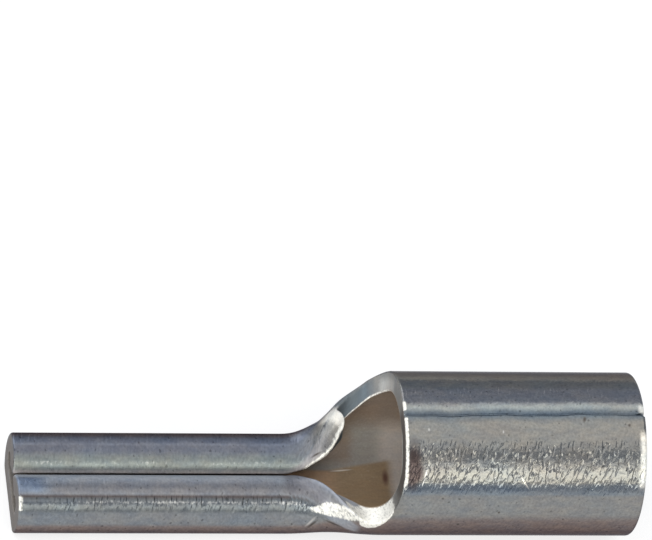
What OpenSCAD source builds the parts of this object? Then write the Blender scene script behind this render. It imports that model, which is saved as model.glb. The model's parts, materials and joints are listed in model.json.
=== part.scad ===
// Pin cable lug, rolled and folded from one strip of tinned copper sheet.
// It lies on its back, with the barrel mouth towards +X and the pin towards -X.

/* [Sheet] */
// Thickness of the copper sheet
sheet_t = 0.75; // [0.6:0.05:0.85]

/* [Barrel] */
// Bore of the crimp barrel, for a 10 mm2 stranded conductor
bore_d = 4.5; // [4:0.1:6]
// Length of the crimp barrel
barrel_len = 9; // [6:0.5:14]
// Chamfer on both edges of the barrel mouth
mouth_chamfer = 0.12; // [0.05:0.01:0.2]
// Angle of the seam from the top of the barrel, towards -Y
seam_turn = 9; // [-15:1:15]
// Width of the groove that the seam leaves outside
seam_w = 0.36; // [0.2:0.02:0.6]
// Depth of that groove
seam_depth = 0.2; // [0.1:0.02:0.4]

/* [Pin] */
// Length of the rolled pin
pin_len = 9.9; // [6:0.5:16]
// Inside radius of the two rolls
roll_r = 0.29; // [0.25:0.01:0.4]
// Angle that each wing is rolled through, from the flat back to its edge
roll_angle = 250; // [235:1:255]
// Gap left between the two rolled edges
pin_gap = 0.05; // [0.03:0.01:0.1]
// Radius of the pin's sides, which are pressed flatter than the rolls
side_r = 1.4; // [1.2:0.05:1.8]
// How far each side is pressed in from the round roll
side_press = 0.12; // [0:0.01:0.16]
// Angle that the pressed top of each roll falls towards its side
top_fall = 7; // [3:1:12]

/* [Neck] */
// Length of the open neck between the barrel and the pin
neck_len = 3.8; // [3.4:0.1:5]
// Fillet in the strip's outline where the +Y wing leaves the barrel
shoulder_r = 2.2; // [1.6:0.1:2.4]
// Extra width at the corner of the +Y wing, which curls over the neck
left_ear = 0.85; // [0:0.05:1]
// Length of the deeper curve where the -Y wing leaves the barrel
notch_len = 1.2; // [1:0.1:1.6]
// Width of that curve
notch_w = 2.5; // [2:0.1:2.6]
// Width cut back from the -Y wing along the neck
right_relief = 0.35; // [0:0.05:0.4]
// How late the sheet starts to bend from the round barrel to the rolled pin
bend_start = 3; // [2.6:0.1:3.4]
// How soon that bend is finished, ahead of the pin
bend_end = 3.2; // [3:0.1:4]

/* [Hidden] */
$fn = 96;

barrel_r = bore_d / 2 + sheet_t;
barrel_mid_r = bore_d / 2 + sheet_t / 2;
roll_outer_r = roll_r + sheet_t;
roll_mid_r = roll_r + sheet_t / 2;
// Distance of each roll's centre from the middle of the pin
roll_y = roll_outer_r * sin(roll_angle - 180) + pin_gap / 2;
// Half width of the flat strip that the pin is rolled from
wing_w = roll_y + roll_mid_r * roll_angle * PI / 180;

total_len = barrel_len + neck_len + pin_len;
mouth_x = total_len / 2;
front_x = mouth_x - barrel_len;
pin_x = front_x - neck_len;

// The neck's ends are let into the barrel wall and the pin, a little thinner than these
joint_len = 0.4;
joint_inset = 0.02;
// Where the corner of the +Y wing starts, is widest and ends, from the barrel
ear_start = 0.38 * neck_len;
ear_top = 0.44 * neck_len;
ear_end = 0.78 * neck_len;
// Where the -Y wing starts to widen to the pin's full width
relief_end = 0.76 * neck_len;
// Part of the wing that has the same points along the whole neck
body_w = 0.85 * wing_w;
// Rounding of the pin's pressed corners: the higher, the sharper
corner_power = 30;
// Longest facet of the neck where it is most curved
facet_len = 0.137;
// Rows of points along the neck, closer together beside the barrel
neck_rows = ceil(neck_len / facet_len);
row_power = 1.3;
// Points across each half of the sheet: on its back, its wing and the wing's free edge
back_points = ceil(roll_y / (2 * facet_len));
wing_points = ceil((body_w - roll_y) / facet_len);
edge_points = ceil((wing_w - body_w) / facet_len);
half_points = back_points + wing_points + edge_points;
// How far the seam's cut runs past both ends of the barrel
cut_past = 1;
tin = [0.55, 0.56, 0.57];

// Eased step from 0 at a to 1 at b
function ease(d, a, b) = let (q = min(max((d - a) / (b - a), 0), 1)) q * q * (3 - 2 * q);

// Bend at a distance d from the barrel: 0 is the round barrel, 1 is the rolled pin
function bend(d) = 1 - pow(1 - pow(min(d / neck_len, 1), bend_start), bend_end);

// Extra width at d beside the barrel, left by a curve that is length long and w wide
function shoulder(d, length, w) = let (q = max(1 - d / length, 0)) w * (1 - sqrt(1 - q * q));

// Half widths of the strip at d
function left_width(d) =
    wing_w + shoulder(d, shoulder_r, shoulder_r)
        + left_ear * (ease(d, ear_start, ear_top) - ease(d, ear_top, ear_end));
function right_width(d) =
    wing_w + shoulder(d, notch_len, notch_w) - right_relief * (1 - ease(d, relief_end, neck_len));

// Distance from a roll's centre to the pin's surface, at the angle a from its back
function roll_reach(a) =
    let (
        inset = side_r + side_press - roll_outer_r,
        side = sqrt(pow(side_r, 2) - pow(inset * cos(a), 2)) - inset * sin(a),
        flat = roll_outer_r / cos(a < 90 ? a : 180 - top_fall - a)
    )
    a <= 0 || a >= 180 - top_fall
        ? roll_outer_r
        : pow(pow(side, -corner_power) + pow(flat, -corner_power), -1 / corner_power);

// How far the pin's surface at length s stands out from the round roll
function press(s) = roll_reach((s - roll_y) / roll_mid_r * 180 / PI) - roll_outer_r;

// Length along the sheet to point i of a half section that is w wide
function reach(i, w) =
    i <= back_points
        ? roll_y * i / back_points
        : i <= back_points + wing_points
            ? roll_y + (body_w - roll_y) * (i - back_points) / wing_points
            : body_w + (w - body_w) * (i - back_points - wing_points) / edge_points;

// Point of a half section, at length s along the sheet from the middle of its back.
// The sheet follows two arcs: a back that flattens and a wing that tightens as f goes to 1.
function sheet_point(s, f, offset) =
    let (
        back_k = (1 - f) / barrel_mid_r,
        wing_k = back_k + f / roll_mid_r,
        back_s = min(s, roll_y),
        back_a = back_k * back_s * 180 / PI,
        wing_a = back_a + wing_k * (s - back_s) * 180 / PI,
        flat = back_k < 0.0001,
        back_y = flat ? back_s : sin(back_a) / back_k,
        back_z = flat ? 0 : (1 - cos(back_a)) / back_k,
        y = back_y + (sin(wing_a) - sin(back_a)) / wing_k,
        z = back_z + (cos(back_a) - cos(wing_a)) / wing_k
    )
    [y + offset * sin(wing_a), sheet_t / 2 + z - offset * cos(wing_a)];

// One face of the sheet, from the edge of the -Y wing to the edge of the +Y wing
function sheet_line(x, d, offset, trim) =
    let (
        f = bend(d),
        w_right = right_width(d) - trim,
        w_left = left_width(d) - trim
    )
    [for (i = [-half_points : half_points])
        let (
            s = reach(abs(i), i < 0 ? w_right : w_left),
            p = sheet_point(s, f, offset > 0 ? offset + f * press(s) : offset)
        )
        [x, i < 0 ? -p[0] : p[0], p[1]]];

// Barrel: a tube with a groove along its brazed seam
module barrel() {
    translate([front_x, 0, barrel_r])
        difference() {
            rotate([0, 90, 0])
                rotate_extrude()
                    polygon([
                        [bore_d / 2, 0],
                        [barrel_r, 0],
                        [barrel_r, barrel_len - mouth_chamfer],
                        [barrel_r - mouth_chamfer, barrel_len],
                        [bore_d / 2 + mouth_chamfer, barrel_len],
                        [bore_d / 2, barrel_len - mouth_chamfer]
                    ]);
            rotate([seam_turn, 0, 0])
                translate([-cut_past, 0, barrel_r])
                    rotate([90, 0, 90])
                        linear_extrude(barrel_len + 2 * cut_past)
                            polygon([[0, -seam_depth], [seam_w, seam_depth], [-seam_w, seam_depth]]);
        }
}

// Neck: the open sheet between the barrel and the pin
module neck() {
    thick = sheet_t / 2;
    thin = thick - joint_inset;
    rows = [
        [front_x + joint_len, joint_inset, thin],
        [front_x - joint_inset, joint_inset, thin],
        for (i = [1 : neck_rows - 1])
            let (d = neck_len * pow(i / neck_rows, row_power))
            [front_x - d, d, thick],
        [pin_x + joint_inset, neck_len, thin],
        [pin_x - joint_len, neck_len, thin]
    ];
    points = [
        for (row = rows)
            let (trim = thick - row[2])
            each concat(
                sheet_line(row[0], row[1], row[2], trim),
                sheet_line(row[0], row[1], -row[2], trim)
            )
    ];
    across = 2 * half_points + 1;
    ring = 2 * across;
    last = len(rows) - 1;
    faces = [
        // Outer and inner face of the sheet
        for (r = [0 : last - 1], i = [0 : across - 2])
            let (a = r * ring + i, b = a + ring, c = a + across, e = c + ring)
            each [[a, b + 1, b], [a, a + 1, b + 1], [c, e, e + 1], [c, e + 1, c + 1]],
        // Cut edges of the two wings
        for (r = [0 : last - 1])
            let (a = r * ring, b = a + ring, c = a + across - 1, e = c + ring)
            each [
                [a, b + across, a + across], [a, b, b + across],
                [c, c + across, e + across], [c, e + across, e]
            ],
        // Ends that are let into the barrel and the pin
        for (a = [0 : across - 2])
            let (c = a + across)
            each [[a, c + 1, a + 1], [a, c, c + 1]],
        for (a = [last * ring : last * ring + across - 2])
            let (c = a + across)
            each [[a, a + 1, c + 1], [a, c + 1, c]]
    ];
    polyhedron(points, faces);
}

// Section of the pin on the +Y side: the flat back and one roll, pressed at its side and top
module pin_half() {
    square([roll_y, sheet_t]);
    translate([roll_y, roll_outer_r])
        difference() {
            polygon([
                [0, 0],
                for (i = [0 : $fn])
                    let (a = roll_angle * i / $fn)
                    roll_reach(a) * [sin(a), -cos(a)]
            ]);
            circle(roll_r);
        }
}

// Pin: both edges of the strip rolled in until they meet
module pin() {
    translate([pin_x - pin_len, 0, 0])
        rotate([90, 0, 90])
            linear_extrude(pin_len) {
                pin_half();
                mirror([1, 0]) pin_half();
            }
}

// The whole lug is one piece of sheet
module cable_lug() {
    color(tin)
        union() {
            barrel();
            neck();
            pin();
        }
}

cable_lug();
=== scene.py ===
import json
import math
from collections import namedtuple

import bpy
import numpy as np
from mathutils import Matrix, Vector


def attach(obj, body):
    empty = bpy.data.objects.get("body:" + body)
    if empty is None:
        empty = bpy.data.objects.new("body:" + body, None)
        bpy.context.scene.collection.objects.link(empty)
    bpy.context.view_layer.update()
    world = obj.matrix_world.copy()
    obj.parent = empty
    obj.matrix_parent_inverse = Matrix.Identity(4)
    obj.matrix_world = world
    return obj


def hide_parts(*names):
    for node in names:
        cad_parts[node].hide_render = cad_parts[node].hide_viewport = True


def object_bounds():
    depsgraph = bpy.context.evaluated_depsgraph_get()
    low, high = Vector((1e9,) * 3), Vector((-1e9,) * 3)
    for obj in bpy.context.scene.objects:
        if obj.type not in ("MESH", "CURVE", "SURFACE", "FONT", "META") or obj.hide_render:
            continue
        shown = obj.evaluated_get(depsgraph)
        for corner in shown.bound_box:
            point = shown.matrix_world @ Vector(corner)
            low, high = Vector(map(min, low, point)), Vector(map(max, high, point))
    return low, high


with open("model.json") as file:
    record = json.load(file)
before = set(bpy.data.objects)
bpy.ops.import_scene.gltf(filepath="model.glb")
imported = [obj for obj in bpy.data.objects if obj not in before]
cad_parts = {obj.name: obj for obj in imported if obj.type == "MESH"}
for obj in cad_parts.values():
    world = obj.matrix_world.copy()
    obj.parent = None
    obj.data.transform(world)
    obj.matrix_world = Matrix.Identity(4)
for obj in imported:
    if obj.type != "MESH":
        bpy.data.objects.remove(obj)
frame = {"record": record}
cad_low, cad_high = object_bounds()

# Lengths below are in millimetres, and the finished meshes are scaled to metres
MM = 0.001

# Sizes read from the frame
bore = next(m for m in frame["record"]["mounts"] if m["name"] == "conductor_bore")
mouth_x = cad_high.x / MM
tip_x = cad_low.x / MM
front_x = 2 * bore["pos_m"][0] / MM - mouth_x
barrel_r = (cad_high.z - cad_low.z) / MM / 2
bore_r = bore["dims"]["r_mm"]
sheet_t = barrel_r - bore_r
half_t = sheet_t / 2
barrel_mid_r = bore_r + half_t
girth = 2 * math.pi * barrel_mid_r

# Pin: two rolls, pressed flatter at their sides and tops
roll_r = 0.29
roll_mid_r = roll_r + half_t
roll_outer_r = roll_mid_r + half_t
roll_angle = math.radians(250)
pin_gap = 0.05
roll_y = roll_outer_r * math.sin(roll_angle - math.pi) + pin_gap / 2
wing_w = roll_y + roll_mid_r * roll_angle
side_r = 1.4
side_press = 0.12
top_fall = 7
top_angle = math.radians(180 - top_fall)
pin_half_w = roll_y + roll_outer_r - side_press
# The slit between the rolls lies this far off the middle
slit_shift = 0.1
# Rounding of the pressed corners: the higher, the sharper
corner_power = 30

# Open neck: its length, the outlines of its two wings and the law of its bend
neck_len = 3.8
pin_x = front_x - neck_len
shoulder_r = 2.2
left_ear = 0.46
ear_start = 1.5
ear_top = 1.76
ear_fall = 2.05
ear_end = 3.4
notch_len = 1.2
notch_w = 2.5
right_relief = 0.35
relief_end = 0.76 * neck_len
bend_start = 3.0
bend_end = 3.2
# The notch beside the ear is drawn this far towards the pin, and the ear's corner leans back over it
notch_drawn = 0.35
notch_curl = 0.7
ear_lean = 1.1
# Stretch of the neck where they do so, with its soft ends, and where across the strip they start
ear_zone = (1.4, 1.9, 0.9)
drawn_from = 2.5
drawn_full = 3.8
lean_from = 4.0
lean_soft = 0.25

# Seam along the barrel, measured round it from the middle of the back, and its turn from the top
seam_turn = 9
seam_s = (math.pi + math.radians(seam_turn)) * barrel_mid_r
# Its two lips, how far it starts off its line, and how it leans and waves along the barrel
seam_far_w = 0.52
seam_near_w = 0.06
seam_depth = 0.11
seam_start = -0.04
seam_lean = -0.011
seam_wave = 0.02
# The slit between the lips, and the notch that it opens into at the mouth
slit_half_w = 0.04
slit_depth = 0.03
notch_reach = 0.4
notch_half_w = 0.12
notch_depth = 0.15

# Rounding of the cut edges, outside and inside, and of the barrel's mouth
outer_round = 0.08
inner_round = 0.05
mouth_round = 0.13

# Mesh density: rows along the lug and columns across it, closer together beside the seam
barrel_rows = 66
neck_rows = 100
pin_rows = 66
half_columns = 60
seam_zone = 0.42
seam_columns = 34
top_spacing = 0.09
# How much the barrel's rows crowd towards its two ends
row_crowding = 0.75
# How far the neck's rows bulge into the barrel along the middle of the back
join_bulge = 1.0
# Steps over a rounded edge, and rows down the cut face from the middle of the sheet
round_steps = 4
wall_rows = (0.2, 0, -0.2, -0.27)
# Samples along a wing's outline: in its curve beside the barrel, and past it
curve_samples = 400
straight_samples = 200
# Least curvature of the back, which stands for flat
least_k = 1e-7


def ease(d, a, b):
    """Eased step from 0 at a to 1 at b."""
    q = np.clip((d - a) / (b - a), 0, 1)
    return q * q * (3 - 2 * q)


def window(v, a, b, soft):
    """1 between a and b, easing to 0 outside them."""
    return ease(v, a - soft, a) * (1 - ease(v, b, b + soft))


def ramp(v, soft):
    """0 below 0 and v above it, with a smooth bend between -soft and soft."""
    return np.where(np.abs(v) < soft, (v + soft) ** 2 / (4 * soft), np.maximum(v, 0))


def bend(d):
    """0 is the round barrel and 1 the rolled pin, at a distance d from the barrel."""
    q = np.clip(d / neck_len, 0, 1)
    return 1 - (1 - q**bend_start) ** bend_end


def shoulder(d, length, width):
    """Extra width beside the barrel, left by a curve of that length and width."""
    q = np.clip(1 - d / length, 0, 1)
    return width * (1 - np.sqrt(1 - q * q))


def left_width(d):
    """Half width of the flat strip on the +Y side, with the ear at the wing's corner."""
    corner = np.clip((d - ear_start) / (ear_top - ear_start), 0, 1)
    ear = np.sqrt(1 - (1 - corner) ** 2) - ease(d, ear_fall, ear_end)
    return wing_w + shoulder(d, shoulder_r, shoulder_r) + left_ear * ear


def right_width(d):
    """Half width of the flat strip on the -Y side, with its deeper notch."""
    relief = right_relief * (1 - ease(d, relief_end, neck_len))
    return wing_w + shoulder(d, notch_len, notch_w) - relief


def press(s):
    """How far the pin's pressed outside stands out from the round roll, at s."""
    a = np.clip((s - roll_y) / roll_mid_r, 0, top_angle)
    inset = side_r + side_press - roll_outer_r
    side = np.sqrt(side_r**2 - (inset * np.cos(a)) ** 2) - inset * np.sin(a)
    flat = roll_outer_r / np.cos(np.where(a < math.pi / 2, a, top_angle - a))
    reach = (side**-corner_power + flat**-corner_power) ** (-1 / corner_power)
    return np.where((a > 0) & (a < top_angle), reach - roll_outer_r, 0)


def past_seam(x, s):
    """Distance round the barrel from the seam, which leans and waves a little."""
    wave = seam_wave * (np.sin(1.9 * x) + 0.6 * np.sin(4.7 * x + 1))
    return s - seam_s - seam_start - seam_lean * (x - front_x) - wave


def groove(x, s):
    """Depth of the seam at a place on the barrel's outside: a far lip that rolls in, a sharp near
    lip and a wavy slit between them, which opens into a notch at the mouth."""
    past = past_seam(x, s)
    far_lip = np.clip(1 + past / seam_far_w, 0, 1) ** 2
    near_lip = np.clip(1 - past / seam_near_w, 0, 1)
    lips = seam_depth * np.where(past < 0, far_lip, near_lip)
    opening = ease(x, mouth_x - notch_reach, mouth_x)
    slit_w = slit_half_w + (notch_half_w - slit_half_w) * opening
    slit = (slit_depth + notch_depth * opening) * np.clip(1 - np.abs(past) / slit_w, 0, 1)
    return np.where(x > front_x - outer_round, lips + slit, 0)


def sheet_place(x, s, offset):
    """Places of points of the sheet: x along the lug, s across the flat strip from the
    middle of its back, and offset outwards from the middle of its thickness."""
    d = front_x - x
    by_ear = window(d, *ear_zone)
    drawn = notch_drawn * by_ear * ease(s, drawn_from, drawn_full)
    f = bend(d + notch_curl * drawn)
    x = x - drawn + ear_lean * by_ear * ramp(s - lean_from, lean_soft)
    side = np.where(s < 0, -1.0, 1.0)
    reach = np.abs(s)
    back_k = np.maximum((1 - f) / barrel_mid_r, least_k)
    wing_k = back_k + f / roll_mid_r
    back_s = np.minimum(reach, roll_y)
    back_a = back_k * back_s
    wing_a = back_a + wing_k * (reach - back_s)
    y = np.sin(back_a) / back_k + (np.sin(wing_a) - np.sin(back_a)) / wing_k
    z = 2 * np.sin(back_a / 2) ** 2 / back_k + (np.cos(back_a) - np.cos(wing_a)) / wing_k
    outside = (offset + half_t) / sheet_t
    offset = offset + (f * press(reach) - groove(x, s)) * outside
    y = side * (y + offset * np.sin(wing_a))
    z = half_t + z - offset * np.cos(wing_a)
    y = y + slit_shift * f * np.clip(1 - (y / pin_half_w) ** 2, 0, 1) * ease(z, 0, roll_outer_r)
    return np.stack([x, y, z], axis=-1)


def wing_outline(width, curve_len):
    """Cut edge of a wing from the barrel to the pin, evenly spaced: x, s and inward normal."""
    turn = np.linspace(0, math.pi / 2, curve_samples)
    straight = np.linspace(curve_len, neck_len, straight_samples)[1:]
    d = np.concatenate([curve_len * (1 - np.cos(turn)), straight])
    s = width(d)
    run = np.concatenate([[0], np.cumsum(np.hypot(np.diff(d), np.diff(s)))])
    even = np.linspace(0, run[-1], neck_rows + 1)
    d, s = np.interp(even, run, d), np.interp(even, run, s)
    step_d, step_s = np.gradient(d), np.gradient(s)
    step_d[0], step_s[0] = 0, -1
    step_d[-1], step_s[-1] = 1, 0
    length = np.hypot(step_d, step_s)
    return front_x - d, s, -step_s / length, -step_d / length


def spaced(a, b, spacing):
    """Evenly spaced values from a to b, without either end."""
    return np.linspace(a, b, max(2, math.ceil((b - a) / spacing)) + 1)[1:-1]


# The strip's two cut edges, and the shares and places that its rows and columns take
left_wing = wing_outline(left_width, shoulder_r)
right_wing = wing_outline(right_width, notch_len)
left_shoulder = left_wing[1][0]
right_shoulder = right_wing[1][0]
across = np.linspace(-1, 1, 2 * half_columns + 1)
pin_share = np.linspace(0, 1, pin_rows + 1)[1:]
top_columns = np.concatenate([
    spaced(left_shoulder, seam_s - seam_zone, top_spacing),
    np.linspace(seam_s - seam_zone, seam_s + seam_zone, seam_columns),
    spaced(seam_s + seam_zone, girth - right_shoulder, top_spacing),
])


def strip_grid(inset):
    """Neck and pin as rows of x and s, from the barrel to the tip, with the cut edges inset."""
    (lx, ls, lnx, lns), (rx, rs, rnx, rns) = left_wing, right_wing
    lx, ls = lx + lnx * inset, ls + lns * inset
    rx, rs = rx + rnx * inset, rs + rns * inset
    middle = np.linspace(front_x + join_bulge, pin_x, neck_rows + 1)
    edge_x = np.where(across[None, :] < 0, rx[:, None], lx[:, None])
    edge_s = np.where(across[None, :] < 0, rs[:, None], ls[:, None])
    neck_x = edge_x + (middle[:, None] - edge_x) * (1 - across[None, :] ** 2)
    neck_s = across[None, :] * edge_s
    pin_rows_x = pin_x + (tip_x + inset - pin_x) * pin_share
    pin_grid_x = np.repeat(pin_rows_x[:, None], len(across), axis=1)
    pin_s = np.repeat((across * (wing_w - inset))[None, :], pin_rows, axis=0)
    return np.vstack([neck_x, pin_grid_x]), np.vstack([neck_s, pin_s])


def front_loop(inset):
    """The cut edge that starts and ends at the barrel's front, round both wings and the tip."""
    x, s = strip_grid(inset)
    top_x = np.full(len(top_columns), front_x + inset)
    return (
        np.concatenate([x[:, -1], x[-1, -2:0:-1], x[::-1, 0], top_x[::-1]]),
        np.concatenate([s[:, -1], s[-1, -2:0:-1], s[::-1, 0], top_columns[::-1]]),
    )


def mouth_loop(inset):
    """The barrel's mouth, with the same points round it as the barrel's front."""
    ring_s = np.concatenate([strip_grid(0)[1][0], top_columns])
    return np.full(len(ring_s), mouth_x - inset), ring_s


class Skin:
    """Points of the sheet and the faces between them."""

    def __init__(self):
        self.points = []
        self.faces = []
        self.count = 0

    def add(self, x, s, offset):
        """Add points at x, s and offset on the flat sheet, and return their ids."""
        x = np.asarray(x, float)
        grid = np.stack([x, s, np.broadcast_to(offset, x.shape)], axis=-1)
        self.points.append(grid.reshape(-1, 3))
        ids = np.arange(self.count, self.count + x.size).reshape(x.shape)
        self.count += x.size
        return ids

    def quads(self, ids, closed, flip):
        """Faces between neighbouring rows and columns; closed joins the last column to the first."""
        if closed:
            ids = np.concatenate([ids, ids[:, :1]], axis=1)
        a, b, c, d = ids[:-1, :-1], ids[:-1, 1:], ids[1:, 1:], ids[1:, :-1]
        order = [a, d, c, b] if flip else [a, b, c, d]
        self.faces.append(np.stack(order, axis=-1).reshape(-1, 4))


def add_face(skin, offset, inset, mouth_inset, flip):
    """One face of the whole sheet. Returns the ids along its front edge and its mouth."""
    strip_x, strip_s = strip_grid(inset)
    ring_s = np.concatenate([strip_s[0], top_columns])
    ring_x = np.concatenate([strip_x[0], np.full(len(top_columns), front_x + inset)])
    even = np.linspace(0, 1, barrel_rows + 1)[:, None]
    share = even - row_crowding * np.sin(2 * math.pi * even) / (2 * math.pi)
    mouth = mouth_x - mouth_inset
    barrel_x = mouth + (ring_x[None, :] - mouth) * share
    barrel = skin.add(barrel_x, np.repeat(ring_s[None, :], barrel_rows + 1, axis=0), offset)
    skin.quads(barrel, True, flip)
    rest = skin.add(strip_x[1:], strip_s[1:], offset)
    strip = np.vstack([barrel[-1, : len(across)], rest])
    skin.quads(strip, False, flip)
    top = barrel[-1, len(across):]
    front = np.concatenate([strip[:, -1], strip[-1, -2:0:-1], strip[::-1, 0], top[::-1]])
    return front, barrel[0]


def round_profile(outer, inner):
    """Inset and offset of each step over a cut edge, between its outer and its inner face."""
    turn = np.linspace(0, math.pi / 2, round_steps + 1)
    out = [(outer * (1 - math.sin(a)), half_t - outer * (1 - math.cos(a))) for a in turn[1:]]
    back = [(inner * (1 - math.sin(a)), inner * (1 - math.cos(a)) - half_t) for a in turn[::-1][:-1]]
    return out + [(0, row) for row in wall_rows] + back


def add_rim(skin, first, last, places, profile):
    """Rounded cut edge between the outer and the inner face."""
    rows = [first]
    for inset, offset in profile:
        x, s = places(inset)
        rows.append(skin.add(x, s, offset))
    rows.append(last)
    skin.quads(np.array(rows), True, False)


# A coat of the finish: the share of light that it throws back, its roughness and how metallic it is
Coat = namedtuple("Coat", "colour rough metal", defaults=[1.0])

# Coats of the barrel: tin and a brown stain, with tones that paint in its light, shade and reflections
tin = Coat((0.221, 0.219, 0.207), 0.17)
low_reflection = Coat((0.228, 0.228, 0.224), 0.17)
blue_reflection = Coat((0.19, 0.215, 0.24), 0.17)
shaded = Coat((0.215, 0.198, 0.174), 0.25)
shaded_blue = Coat((0.24, 0.243, 0.255), 0.25)
seam_lip_highlight = Coat((0.285, 0.305, 0.3), 0.25)
seam_slit_shade = Coat((0.115, 0.14, 0.165), 0.3)
brown_stain = Coat((0.075, 0.052, 0.048), 0.25)
underside_shade = Coat((0.2, 0.166, 0.157), 0.3)

# Coats of the pin: pin_tin and a brown ridge, with tones by place round the rolls that paint in light and
# shade
pin_tin = Coat((0.26, 0.272, 0.29), 0.3)
pin_band = Coat((0.225, 0.245, 0.235), 0.42)
pin_shaded = Coat((0.135, 0.145, 0.175), 0.35)
pin_rim = Coat((0.19, 0.205, 0.245), 0.35)
pin_edge = Coat((0.09, 0.068, 0.062), 0.4)
pin_flank = Coat((0.209, 0.222, 0.236), 0.3)
pin_top = Coat((0.2, 0.202, 0.215), 0.3, 0.75)
pin_crest = Coat((0.33, 0.352, 0.385), 0.5, 0.4)
pin_blue = Coat((0.2, 0.24, 0.31), 0.3, 0.7)
valley_light = Coat((0.43, 0.4, 0.385), 0.7, 0)
ridge_brown = Coat((0.085, 0.062, 0.056), 0.45)
nicked_shade = Coat((0.105, 0.115, 0.122), 0.3)

# Coats of the -Y wing, for its painted shade and reflections, of the cut faces, with a painted highlight
# among them, and the pale coat of the painted highlights
wing_top_shade = Coat((0.13, 0.12, 0.132), 0.42, 0.8)
wing_edge_reflection = Coat((0.31, 0.325, 0.36), 0.5, 0.2)
wing_facet_reflection = Coat((0.31, 0.325, 0.36), 0.4, 0.6)
cut_grey = Coat((0.3, 0.295, 0.28), 0.4, 0.65)
cut_highlight = Coat((0.52, 0.51, 0.48), 0.4, 0.5)
cut_blue = Coat((0.13, 0.155, 0.17), 0.4, 0.65)
cut_brown = Coat((0.19, 0.172, 0.155), 0.4, 0.65)
painted_highlight = Coat((0.84, 0.82, 0.75), 0.45, 0.35)

# Coats of the inner face; inner_pale, inner_orange and inner_tip paint in light, and inner_dark paints
# shade
inner_grey = Coat((0.37, 0.35, 0.315), 0.6, 0.25)
inner_pale = Coat((0.59, 0.54, 0.49), 0.6, 0.25)
inner_top = Coat((0.32, 0.25, 0.195), 0.6, 0.25)
inner_brown = Coat((0.365, 0.265, 0.165), 0.6, 0.25)
inner_orange = Coat((0.5, 0.34, 0.22), 0.6, 0.25)
inner_dark = Coat((0.13, 0.105, 0.085), 0.6, 0.25)
inner_tip = Coat((0.19, 0.172, 0.155), 0.6, 0.25)

# Wear of the plain plating, which sets how strong its nicks and dents are
plain_wear = 0.28


def near_side(degrees):
    """Place s round the barrel, at an angle above the horizon on its -Y side."""
    return (1.5 * math.pi - math.radians(degrees)) * barrel_mid_r


class Finish:
    """Colour, roughness, metal and wear of each point, with the places that decide them."""

    def __init__(self, flat, normal):
        self.x, self.s, self.depth = flat[:, 0], flat[:, 1], flat[:, 2] / half_t
        # Distance from the barrel, place round the barrel and angle round a roll from the flat back
        self.d = front_x - self.x
        self.left, self.right = self.s > 0, self.s < 0
        self.round_s = np.where(self.right, self.s + girth, self.s)
        self.roll = np.degrees((np.abs(self.s) - roll_y) / roll_mid_r)
        self.normal = normal
        # Shares of the outer face, the inner face, the cut faces, the pin and the barrel
        self.outer = ease(self.depth, 0.5, 0.95)
        self.inner = ease(-self.depth, 0.5, 0.95)
        self.cut = 1 - ease(np.abs(self.depth), 0.7, 0.95)
        self.on_pin = ease(self.d, 0.45 * neck_len, neck_len)
        self.on_barrel = 1 - ease(self.d, -0.2, 0.2)
        # Slow wander that keeps the edges of stains, marks and painted highlights from running straight
        self.wander = 0.6 * np.sin(5.3 * self.s + 1.7 * self.x) + 0.4 * np.sin(12.7 * self.s - 3.1 * self.x)
        count = len(flat)
        self.colour = np.tile(np.array(tin.colour), (count, 1))
        self.rough = np.full(count, tin.rough)
        self.metal = np.full(count, tin.metal)
        self.wear = np.full(count, plain_wear)
        # Share of the painted highlights at each point
        self.painted_highlight = np.zeros(count)

    def cover(self, weight, coat):
        """Lay a coat over what is there: 0 leaves it as it is and 1 hides it."""
        self.colour += weight[:, None] * (np.array(coat.colour) - self.colour)
        self.rough += weight * (coat.rough - self.rough)
        self.metal += weight * (coat.metal - self.metal)


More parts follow.
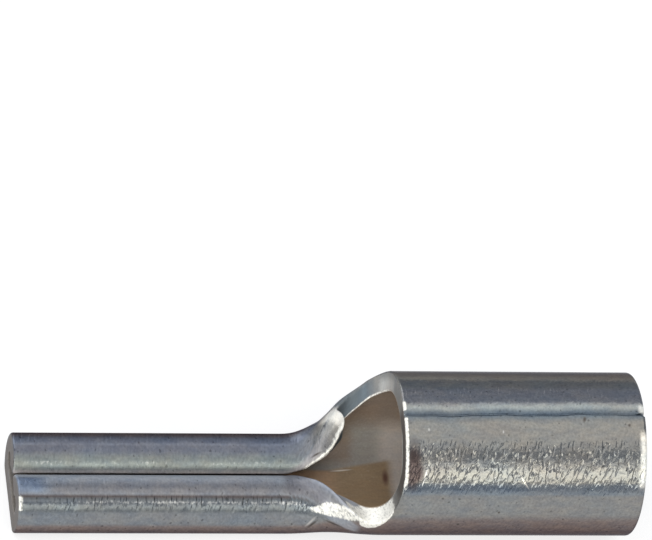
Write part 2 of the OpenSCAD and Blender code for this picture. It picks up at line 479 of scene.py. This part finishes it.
def finish_pin(f):
    """Dull pin in painted light and shade: dark behind, a pale band, painted light in the dark valley, a
    brown ridge, and nicks below it with painted glints.
    """
    skin = f.outer * f.on_pin
    far, near = skin * f.left, skin * f.right
    f.cover(f.on_pin, pin_tin)
    # Painted light and shade on the far roll: a toned band where the front lamps are mirrored, darker
    # behind and lighter along its top
    f.cover(far * window(f.roll, 194, 235, 12), pin_band)
    f.cover(far * ease(f.normal[:, 1], -0.62, -0.32), pin_shaded)
    f.cover(far * window(f.roll, 174, 183, 6), pin_rim)
    # Painted light and shade on the near roll: a darker flank, a lighter top and crest, and bluish by the
    # tip
    f.cover(near * window(f.roll, 95, 152, 8), pin_flank)
    f.cover(near * ease(f.roll, 160, 172), pin_top)
    f.cover(near * ease(f.roll, 178, 212), pin_crest)
    by_tip = 1 - ease(f.x, tip_x + 0.5, tip_x + 1.4)
    f.cover(near * by_tip * window(f.roll, 174, 205, 12), pin_blue)
    # Pale painted light in the valley at the slit, against its shade
    in_valley = ease(f.depth, -0.9, -0.5) * ease(f.roll, 234, 245)
    f.cover(f.on_pin * in_valley, valley_light)
    # Painted shade along the far roll's brink
    f.cover(0.85 * far * window(f.roll, 150, 158, 9), pin_edge)
    ridge = window(f.roll + 0.8 * f.wander, 159.5, 161, 3)
    f.cover(0.9 * near * ridge, ridge_brown)
    # Painted shade round and over the nicked stretch of the near roll
    beside_nicks = np.maximum(window(f.roll, 133, 142, 6), window(f.roll, 155, 157, 4))
    f.cover(0.85 * near * beside_nicks, nicked_shade)
    nicked = near * window(f.roll, 142, 157, 6)
    f.cover(0.35 * nicked, nicked_shade)
    f.wear += 1.4 * nicked * ease(f.x, tip_x + 0.5, tip_x + 2)
    # Painted glints: pale chips along the nicks, across the far roll's band and on the edge at the tip
    glitter = (0.46 + 0.06 * f.wander) * nicked * window(f.roll, 147, 152, 6)
    far_glitter = (0.29 + 0.07 * f.wander) * far * window(f.roll, 220, 230, 5)
    tip_edge = 1 - ease(f.x, tip_x + 0.06, tip_x + 0.13)
    f.painted_highlight += glitter * ease(f.x, tip_x + 0.5, tip_x + 3) + far_glitter
    f.painted_highlight += 0.9 * near * tip_edge * window(f.roll, 134, 160, 5)


def finish_barrel(f):
    """Painted light and shade: darker below and behind, a highlight on the seam's lip and shade in its
    slit; with a brown stain and a nicked band in front.
    """
    skin = f.outer * f.on_barrel
    # Painted reflections: the lower side toned to its brightness where it mirrors the floor, and a darker
    # bluish band just above it
    f.cover(skin * ease(f.round_s, near_side(30), near_side(20)), low_reflection)
    f.cover(skin * window(f.round_s, near_side(30), near_side(25), 0.15), blue_reflection)
    # Painted shade on the side facing away, and a bluish painted shade just past the seam's far lip
    f.cover(0.8 * skin * ease(f.normal[:, 1], 0.35, 0.6), shaded)
    past = past_seam(f.x, f.round_s)
    f.cover(skin * window(past, -0.9, -0.5, 0.3), shaded_blue)
    # Painted highlight on the seam's far lip, and painted shade in its slit
    f.cover(skin * window(past, -0.24, 0.04, 0.2), seam_lip_highlight)
    by_slit = ease(past, -0.28, -0.06) * (1 - ease(past, 0.02, 0.36))
    f.cover(skin * by_slit, seam_slit_shade)
    off_stain = np.hypot((f.d + 0.28) / 0.46, (f.round_s - near_side(43)) / 0.95)
    stain = 1 - ease(off_stain + 0.15 * f.wander, 0.45, 1.1)
    f.cover(0.9 * skin * stain, brown_stain)
    nicked = f.on_barrel * window(f.round_s, near_side(60), near_side(34), 0.2)
    f.rough += 0.04 * nicked
    f.wear += 1.5 * nicked - 0.2 * ease(f.normal[:, 1], 0.3, 0.6)


def finish_underside(f):
    """Painted shade: a darker brown tinge on what faces the ground."""
    f.cover(f.outer * (1 - ease(f.normal[:, 2], -0.05, 0.12)), underside_shade)


def finish_inside(f):
    """Dull inner face, olive brown along the back of the strip, with painted light inside the barrel and in
    the neck, painted shade inside the rolls and painted light again at their open tip.
    """
    f.cover(f.inner, inner_grey)
    # Painted light inside the barrel, lighter than in the neck
    f.cover(f.inner * (1 - ease(f.d, -0.5, 0.3)), inner_pale)
    above = np.maximum(ease(f.s, 2.3, 3.5), 0.8 * ease(f.d, 0.7, 1.2) * ease(f.s, 0.8, 1.6))
    f.cover(f.inner * above, inner_top)
    wedge = 0.8 + 0.25 * np.clip(1.67 - f.d, 0, 2) + 0.06 * f.wander
    brown = f.inner * (1 - ease(f.s, wedge - 0.08, wedge + 0.15)) * ease(f.s, -4.5, -4)
    f.cover(brown * ease(f.d, -0.75, -0.28), inner_brown)
    # Painted light on the orange brown in the neck, against its shade
    f.cover(brown * ease(f.d, 1.2, 2.0), inner_orange)
    # Painted shade inside the rolls, and painted light at their open tip
    f.cover(f.inner * ease(f.d, neck_len - 0.6, neck_len), inner_dark)
    f.cover(f.inner * (1 - ease(f.x, tip_x + 0.5, tip_x + 1)), inner_tip)


def finish_cut_edges(f):
    """Cut faces: grey at the top, blue grey on the +Y wing, brown at the front and the pin's tip, with a
    painted highlight at the front's corner on the +Y side and a painted glint along the front's inner edge.
    """
    f.cover(f.cut, cut_grey)
    f.cover(f.cut * f.left * ease(f.d, 0.15, 0.7), cut_blue)
    # Painted highlight at the front's corner on the +Y side
    at_corner = window(f.s, 5.2, 6.4, 0.5) * (1 - ease(f.d, 0.15, 0.3)) * ease(-f.depth, -0.5, 0.2)
    f.cover(0.8 * f.cut * at_corner, cut_highlight)
    by_front = 1 - ease(f.d, 0.05, 0.2)
    near_front = window(f.round_s, near_side(85), near_side(15), 0.5) * by_front
    f.cover(f.cut * near_front, cut_brown)
    # Painted glint along the inner edge of the front, on the -Y side
    front_glint = window(-f.depth, 0.75, 0.97, 0.1) * by_front
    f.cover(0.6 * front_glint * window(f.round_s, near_side(68), near_side(40), 0.4), painted_highlight)
    f.cover(f.cut * ease(f.d, neck_len, neck_len + 0.5), cut_brown)


def finish_far_wing(f):
    """Blue grey beside the ear, painted highlights on the ear's ridge and edge, and a painted highlight on
    the burr along the inside.
    """
    beside_ear = ease(f.d, 0.6, 1.2) * (1 - ease(f.d, 1.44, 1.53)) * ease(f.s, 3.2, 3.7)
    f.cover(0.8 * f.outer * beside_ear, cut_blue)
    # Painted highlight along the ear's ridge
    ridge_d = 1.6 + 0.62 * np.maximum(4.25 - f.s, 0) ** 1.9
    ridge = window(f.d - ridge_d, -0.1, 0.06, 0.14) * ease(f.s, 3.1, 3.9)
    f.cover(0.75 * f.outer * ridge * f.left, painted_highlight)
    # Painted highlights on the ear's edge and on the burr along the inside
    edge = ease(f.s - left_width(f.d), -0.14, -0.05) * window(f.d, 1.6, 2.9, 0.2)
    burr = window(-f.depth, 0.78, 0.95, 0.08) * window(f.d, 0.05, 1.5, 0.1)
    f.painted_highlight += (0.8 * f.outer * edge + 0.9 * burr) * f.left


def finish_near_wing(f):
    """Painted shade on the mauve top and painted reflections on the blue edge and facet, with painted
    highlights on the flank, at the corner and in the notch.
    """
    # Painted shade on the wing's top
    on_top = window(f.d, 2.1, 3.65, 0.25) * ease(-f.s, 2.84, 3.0)
    f.cover(0.45 * f.outer * on_top * f.right, wing_top_shade)
    # Painted reflections on the rolled edge and on a facet
    edge_gap = right_width(f.d) + f.s
    rolled_edge = (1 - ease(edge_gap, 0.05, 0.2)) * window(f.d, 1.5, 2.7, 0.3)
    f.cover(0.9 * rolled_edge * f.right, wing_edge_reflection)
    facet = window(f.d, 1.45, 2.25, 0.3) * window(-f.s, 2.75, 3.1, 0.12)
    f.cover(0.7 * f.outer * facet * f.right, wing_facet_reflection)
    # Painted highlights on the flank, at the notch's corner and on the notch's cut face
    off_flank = np.abs(-f.s - 3.09 + 0.53 * (f.d - 2.12) + 0.02 * f.wander)
    patch_w = 0.03 + 0.17 * ease(f.d, 1.1, 1.8) * (1 - ease(f.d, 2.0, 3.0))
    flank_highlight = (1 - ease(off_flank - patch_w, -0.03, 0.11)) * window(f.d, 1.4, 2.75, 0.3)
    corner_w = 0.08 + 0.2 * ease(f.d, 0.2, 1.1)
    corner = (1 - ease(edge_gap - corner_w, -0.04, 0.08)) * window(f.d, 0.3, 1.26, 0.08)
    low_part = np.clip(ease(f.depth, -0.6, 0.1) + (1 - ease(f.d, 1.2, 1.45)), 0, 1)
    notch_highlight = f.cut * window(f.d, 0.3, 1.7, 0.15) * low_part
    f.painted_highlight += (f.outer * (0.8 * flank_highlight + corner) + notch_highlight) * f.right


def finish_rims(f):
    """Painted highlights along the barrel's front edge, on the near part of the mouth's rim and at the seam
    lip's end by the mouth.
    """
    # Painted highlights: the front edge and the mouth's rim where they mirror the lamps, and the seam lip's
    # end
    past = past_seam(f.x, f.round_s)
    along_front = ease(past, -0.6, -0.4) * (1 - ease(f.round_s, near_side(40), near_side(16)))
    off_seam = 1 - window(past, -0.12, 0.1, 0.06)
    f.painted_highlight += f.outer * window(f.d, -0.06, 0.2, 0.1) * along_front * off_seam
    rim = ease(f.x, mouth_x - 0.32, mouth_x - 0.18) * ease(f.depth, 0.2, 0.5)
    near_rim = rim * window(f.round_s, near_side(66), near_side(33), 0.25)
    lip_end = window(past, -0.26, -0.12, 0.08) * ease(f.x, mouth_x - 0.3, mouth_x - 0.1)
    f.cover(0.9 * np.maximum(near_rim, lip_end * f.outer), painted_highlight)


# The coats are laid in this order
finish_steps = [
    finish_pin,
    finish_barrel,
    finish_underside,
    finish_inside,
    finish_cut_edges,
    finish_far_wing,
    finish_near_wing,
    finish_rims,
]


def store(mesh, name, kind, domain, values):
    """Give the mesh an attribute with those values."""
    field = {"FLOAT": "value", "FLOAT_VECTOR": "vector", "FLOAT_COLOR": "color"}[kind]
    attribute = mesh.attributes.new(name, kind, domain)
    attribute.data.foreach_set(field, np.ascontiguousarray(values, dtype=np.float32).ravel())


def paint(mesh, flat, faces):
    """Store the sheet's own coordinates and the finish at each point."""
    f = Finish(flat, np.array([v.vector for v in mesh.vertex_normals]))
    for step in finish_steps:
        step(f)
    # The tint holds the plating's tones together with its painted light and shade
    store(mesh, "tint", "FLOAT_COLOR", "POINT", np.column_stack([f.colour, np.ones(len(flat))]))
    store(mesh, "rough", "FLOAT", "POINT", f.rough)
    store(mesh, "metal", "FLOAT", "POINT", f.metal)
    store(mesh, "wear", "FLOAT", "POINT", f.wear * f.outer)
    # Share of the painted highlights, laid on as a pale coat in the material
    store(mesh, "painted_highlight", "FLOAT", "POINT", np.clip(f.painted_highlight, 0, 1))
    # The -Y half counts s on round the barrel, so that the finish runs over the top without a break
    corners = flat[faces]
    across_s = corners[:, :, 1]
    wraps = (across_s.min(axis=1) < 0)[:, None] & (across_s <= 0)
    corners[:, :, 1] = np.where(wraps, across_s + girth, across_s)
    store(mesh, "sheet", "FLOAT_VECTOR", "CORNER", corners.reshape(-1, 3))


def build_lug():
    """The lug as one closed skin: outer face, inner face and the rounded edges between them."""
    skin = Skin()
    outer_front, outer_mouth = add_face(skin, half_t, outer_round, mouth_round, True)
    inner_front, inner_mouth = add_face(skin, -half_t, inner_round, mouth_round, False)
    add_rim(skin, outer_front, inner_front, front_loop, round_profile(outer_round, inner_round))
    add_rim(skin, outer_mouth, inner_mouth, mouth_loop, round_profile(mouth_round, mouth_round))
    flat, faces = np.vstack(skin.points), np.vstack(skin.faces)
    places = sheet_place(flat[:, 0], flat[:, 1], flat[:, 2])
    mesh = bpy.data.meshes.new("lug")
    mesh.from_pydata((places * MM).tolist(), [], faces.tolist())
    mesh.update()
    mesh.shade_smooth()
    paint(mesh, flat, faces)
    lug = bpy.data.objects.new("lug", mesh)
    bpy.context.scene.collection.objects.link(lug)
    return lug


lug = build_lug()
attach(lug, "root")
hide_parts("cable_lug")

# Camera: its direction and distance from the lug's middle, its roll in degrees, how far
# above that middle it aims, and its lens and sensor
view_back = (-0.20450, -0.57536, 0.79192)
view_distance = 298
view_roll = 0.25
view_rise = 6.67
view_lens = 450.8
view_sensor = 36


def build_camera():
    """Camera at the photograph's angle, with the lug low in the picture."""
    back = Vector(view_back).normalized()
    centre = Vector((0, 0, barrel_r)) * MM
    roll = math.radians(view_roll)
    level = (Vector((1, 0, 0)) - back * back.x).normalized()
    right = level * math.cos(roll) + back.cross(level) * math.sin(roll)
    up = back.cross(right)
    place = centre + back * (view_distance * MM)
    aim = centre + up * view_rise * MM
    data = bpy.data.cameras.new("camera")
    data.sensor_width = view_sensor
    data.lens = view_lens
    data.clip_start = 0.01
    data.clip_end = 10
    camera = bpy.data.objects.new("camera", data)
    bpy.context.scene.collection.objects.link(camera)
    forward = (aim - place).normalized()
    up = right.cross(forward)
    turn = Matrix((right, up, -forward)).transposed()
    camera.matrix_world = Matrix.Translation(place) @ turn.to_4x4()
    bpy.context.scene.camera = camera


build_camera()


class Nodes:
    """Short names for adding and joining the nodes of a material."""

    def __init__(self, name):
        self.material = bpy.data.materials.new(name)
        self.material.use_nodes = True
        self.tree = self.material.node_tree
        self.shader = self.tree.nodes["Principled BSDF"]

    def add(self, kind, settings, inputs):
        """A node with its settings; an input is a number, a colour or another node's output."""
        node = self.tree.nodes.new(kind)
        for key, value in settings.items():
            setattr(node, key, value)
        for key, value in inputs.items():
            self.set(node.inputs[key], value)
        return node

    def set(self, socket, value):
        """Join another node's output to a socket, or set the socket's own value."""
        if isinstance(value, bpy.types.NodeSocket):
            self.tree.links.new(value, socket)
        else:
            socket.default_value = value

    def attribute(self, name):
        """A node that reads one of the mesh's attributes."""
        return self.add("ShaderNodeAttribute", {"attribute_name": name}, {})

    def maths(self, operation, a, b):
        """Two numbers joined by an operation."""
        return self.add("ShaderNodeMath", {"operation": operation}, {0: a, 1: b}).outputs[0]

    def remap(self, value, low, high, to_low, to_high):
        """A number carried from one range to another, and held at its ends."""
        inputs = {0: value, 1: low, 2: high, 3: to_low, 4: to_high}
        return self.add("ShaderNodeMapRange", {}, inputs).outputs[0]

    def noise(self, place, scale, detail):
        """Smooth noise between 0 and 1."""
        inputs = {"Vector": place, "Scale": scale, "Detail": detail, "Roughness": 0.6}
        return self.add("ShaderNodeTexNoise", {}, inputs).outputs["Fac"]

    def stretched(self, place, turn, size, centre=(0, 0, 0)):
        """Coordinates round a centre, in which marks of that size, turned by that angle, are round."""
        rotation = (0, 0, math.radians(turn))
        inputs = {"Vector": place, "Location": centre, "Rotation": rotation, "Scale": size}
        return self.add("ShaderNodeMapping", {"vector_type": "TEXTURE"}, inputs).outputs[0]

    def mark(self, place, turn, size, centre):
        """1 in one oval mark and 0 outside it."""
        local = self.stretched(place, turn, size, centre)
        away = self.add("ShaderNodeVectorMath", {"operation": "LENGTH"}, {0: local}).outputs["Value"]
        return self.remap(away, 0.25, 1, 1, 0)

    def blend(self, factor, a, b):
        """A number between a and b."""
        return self.add("ShaderNodeMix", {}, {0: factor, 2: a, 3: b}).outputs[0]

    def mix_colour(self, mode, factor, a, b):
        """Colour b laid over colour a."""
        node = self.add("ShaderNodeMix", {"data_type": "RGBA", "blend_type": mode}, {"Factor": factor})
        self.set(node.inputs[6], a)
        self.set(node.inputs[7], b)
        return node.outputs[2]


# Single marks: x and s of the middle, which face, turn, half width, half length and colour
pit = (0.09, 0.08, 0.072, 1)
rust = (0.16, 0.085, 0.06, 1)
glint = (0.8, 0.74, 0.64, 1)
speck = (0.45, 0.44, 0.42, 1)
marks = [
    (3.21, 9.14, 1, 0, 0.05, 0.07, speck),
    (5.97, 9.20, 1, 0, 0.04, 0.07, speck),
    (6.81, 10.86, 1, -38, 0.04, 0.32, glint),
    (3.09, 10.6, 1, 14, 0.045, 0.46, speck),
    (9.04, 8.76, 1, 20, 0.08, 0.14, pit),
    (10.7, 8.96, 1, 0, 0.07, 0.07, pit),
    (6.0, 11.99, 1, 0, 0.06, 0.07, pit),
    (4.6, 12.62, 1, 0, 0.08, 0.08, pit),
    (-0.47, 14.24, 1, 34, 0.06, 0.36, pit),
    (-0.54, 14.16, 1, 34, 0.05, 0.34, speck),
    (0.25, 13.86, 1, 81.5, 0.05, 0.42, pit),
    (-0.15, 4.05, 1, -59, 0.035, 0.32, pit),
    (1.02, 0.86, -1, -82, 0.045, 0.48, glint),
    (2.66, 0.55, -1, 0, 0.16, 0.45, rust),
]

# Stains and mottling: their sizes along and across the sheet, and the two tones that each runs between
stain_size = (1.6, 0.7, 1)
cool_stain = (0.965, 1.0, 1.03, 1)
warm_stain = (1.04, 0.997, 0.965, 1)
mottle_size = (0.5, 0.22, 1)
dark_mottle = (0.9, 0.915, 0.94, 1)
pale_mottle = (1.1, 1.085, 1.05, 1)
# Grain, dark flecks, chips that break up the painted highlights and soft dents, as so many to the
# millimetre
grain_scale = 11
fleck_scale = 8
chip_scale = 11
dent_scale = 3.2
# Nicks: their width, length and turn
nick_size = (0.092, 0.27, 1)
nick_turn = 14
# Relief of the nicks, the dents and the grain, as shares of its depth
relief_depth = 0.012
nick_share = -1.5
dent_share = 0.9
grain_share = 0.2
plating_tint = (0.3, 0.3, 0.33, 1)


def plating_colour(n, sheet, wear, stain, grain):
    """The painted tint, which holds the painted light and shade, with stains, mottling, grain, dark flecks
    and the single marks.
    """
    stained = n.mix_colour("MIX", n.remap(stain, 0.35, 0.65, 0, 1), cool_stain, warm_stain)
    mottle = n.noise(n.stretched(sheet, 0, mottle_size), 1, 2)
    mottled = n.mix_colour("MIX", n.remap(mottle, 0.35, 0.65, 0, 1), dark_mottle, pale_mottle)
    fleck = n.noise(sheet, fleck_scale, 0)
    flecks = n.maths("MULTIPLY", n.remap(fleck, 0.74, 0.8, 0, 0.4), n.remap(wear, 0, 0.25, 0, 1))
    speckle = n.maths("SUBTRACT", n.remap(grain, 0.3, 0.7, 0.86, 1.14), flecks)
    uneven = n.remap(wear, 0, 0.25, 0.55, 1)
    colour = n.attribute("tint").outputs["Color"]
    for layer in (stained, mottled, speckle):
        colour = n.mix_colour("MULTIPLY", uneven, colour, layer)
    for x, s, face, turn, half_w, half_l, tone in marks:
        mask = n.mark(sheet, turn, (half_w, half_l, sheet_t), (x, s, face * half_t))
        colour = n.mix_colour("MIX", mask, colour, tone)
    return colour


def plating_relief(n, sheet, wear, grain):
    """Normals of the plating, with nicks across it, soft dents and grain."""
    nick = n.noise(n.stretched(sheet, nick_turn, nick_size), 1, 0)
    nicks = n.maths("MULTIPLY", n.remap(nick, 0.5, 0.74, 0, 1), nick_share)
    dents = n.maths("MULTIPLY", n.noise(sheet, dent_scale, 2), dent_share)
    height = n.maths("ADD", n.maths("ADD", nicks, dents), n.maths("MULTIPLY", grain, grain_share))
    inputs = {"Strength": wear, "Distance": relief_depth * MM, "Height": height}
    return n.add("ShaderNodeBump", {}, inputs).outputs[0]


def tinned_copper():
    """Dulled tin plating with nicks, grain, stains, single marks and painted highlights laid on as a pale
    coat.
    """
    n = Nodes("tinned_copper")
    sheet = n.attribute("sheet").outputs["Vector"]
    wear = n.attribute("wear").outputs["Fac"]
    stain = n.noise(n.stretched(sheet, 0, stain_size), 1, 3)
    grain = n.noise(sheet, grain_scale, 2)
    colour = plating_colour(n, sheet, wear, stain, grain)
    rough = n.maths("MULTIPLY", n.attribute("rough").outputs["Fac"], n.remap(stain, 0.3, 0.7, 0.85, 1.2))
    metal = n.attribute("metal").outputs["Fac"]

    # The painted highlights are laid on in chips of a pale coat, so their edges are broken
    chip = n.noise(sheet, chip_scale, 3)
    highlight_share = n.attribute("painted_highlight").outputs["Fac"]
    chips = n.maths("MULTIPLY", highlight_share, n.remap(chip, 0.3, 0.7, 0.62, 1.38))
    ragged_highlight = n.remap(chips, 0.35, 0.85, 0, 1)
    highlight_tone = n.mix_colour("MULTIPLY", 1, (*painted_highlight.colour, 1), n.remap(chip, 0.3, 0.6, 0.78, 1.06))

    n.set(n.shader.inputs["Base Color"], n.mix_colour("MIX", ragged_highlight, colour, highlight_tone))
    n.set(n.shader.inputs["Roughness"], n.blend(ragged_highlight, rough, painted_highlight.rough))
    n.set(n.shader.inputs["Metallic"], n.blend(ragged_highlight, metal, painted_highlight.metal))
    n.set(n.shader.inputs["Specular Tint"], plating_tint)
    n.set(n.shader.inputs["Normal"], plating_relief(n, sheet, wear, grain))
    return n.material


lug.data.materials.append(tinned_copper())

# Floor: half its width in metres, how far it lies under the lug, its own grey and its glow
floor_half = 0.6
floor_drop = 0.01
paper_grey = (0.35, 0.35, 0.35, 1)
paper_glow = 0.68


def build_floor():
    """Plain pale floor that keeps the lug's shadow."""
    half = floor_half
    level = -floor_drop * MM
    mesh = bpy.data.meshes.new("floor")
    corners = [(-half, -half, level), (half, -half, level), (half, half, level), (-half, half, level)]
    mesh.from_pydata(corners, [], [(0, 1, 2, 3)])
    floor = bpy.data.objects.new("floor", mesh)
    bpy.context.scene.collection.objects.link(floor)
    paper = Nodes("paper")
    paper.set(paper.shader.inputs["Base Color"], paper_grey)
    paper.set(paper.shader.inputs["Roughness"], 0.9)
    paper.set(paper.shader.inputs["Specular IOR Level"], 0)
    path = paper.add("ShaderNodeLightPath", {}, {})
    seen = paper.maths("ADD", path.outputs["Is Camera Ray"], path.outputs["Is Glossy Ray"])
    seen = paper.maths("ADD", seen, path.outputs["Is Transmission Ray"])
    paper.set(paper.shader.inputs["Emission Color"], (1, 1, 1, 1))
    paper.set(paper.shader.inputs["Emission Strength"], paper.maths("MULTIPLY", seen, paper_glow))
    mesh.materials.append(paper.material)


build_floor()

# Distance of the studio panels from the lug, in metres
light_distance = 0.4
# Studio panels: name, turn from the front towards the right, height above the horizon,
# width and height of the panel as angles, brightness and colour
panels = [
    ("front_band", 8, 22.5, 100, 17, 2.95, (1.0, 0.975, 0.86)),
    ("front_fade", 8, 36, 90, 12, 1.0, (1.0, 1.0, 0.98)),
    ("overhead", 180, 89, 90, 62, 0.9, (1.0, 0.965, 0.89)),
    ("left", -125, 30, 100, 36, 1.1, (1.0, 1.0, 1.0)),
    ("front_left", -56, 8, 34, 40, 2.6, (1.0, 0.99, 0.95)),
]
sky = (0.44, 0.48, 0.56, 1)


def add_panel(name, turn, height, wide, tall, brightness, colour):
    """Soft rectangular lamp that faces the lug."""
    a, e = math.radians(turn), math.radians(height)
    towards = Vector((math.sin(a) * math.cos(e), -math.cos(a) * math.cos(e), math.sin(e)))
    data = bpy.data.lights.new(name, "AREA")
    data.shape = "RECTANGLE"
    data.size = 2 * light_distance * math.tan(math.radians(wide / 2))
    data.size_y = 2 * light_distance * math.tan(math.radians(tall / 2))
    data.energy = brightness * math.pi * data.size * data.size_y
    data.color = colour
    lamp = bpy.data.objects.new(name, data)
    lamp.location = towards * light_distance
    lamp.rotation_mode = "QUATERNION"
    lamp.rotation_quaternion = towards.to_track_quat("Z", "Y")
    lamp.visible_camera = False
    bpy.context.scene.collection.objects.link(lamp)


for panel in panels:
    add_panel(*panel)

world = bpy.data.worlds.new("studio")
bpy.context.scene.world = world
world.use_nodes = True
world.node_tree.nodes["Background"].inputs["Color"].default_value = sky

bpy.context.scene.view_settings.view_transform = "Standard"
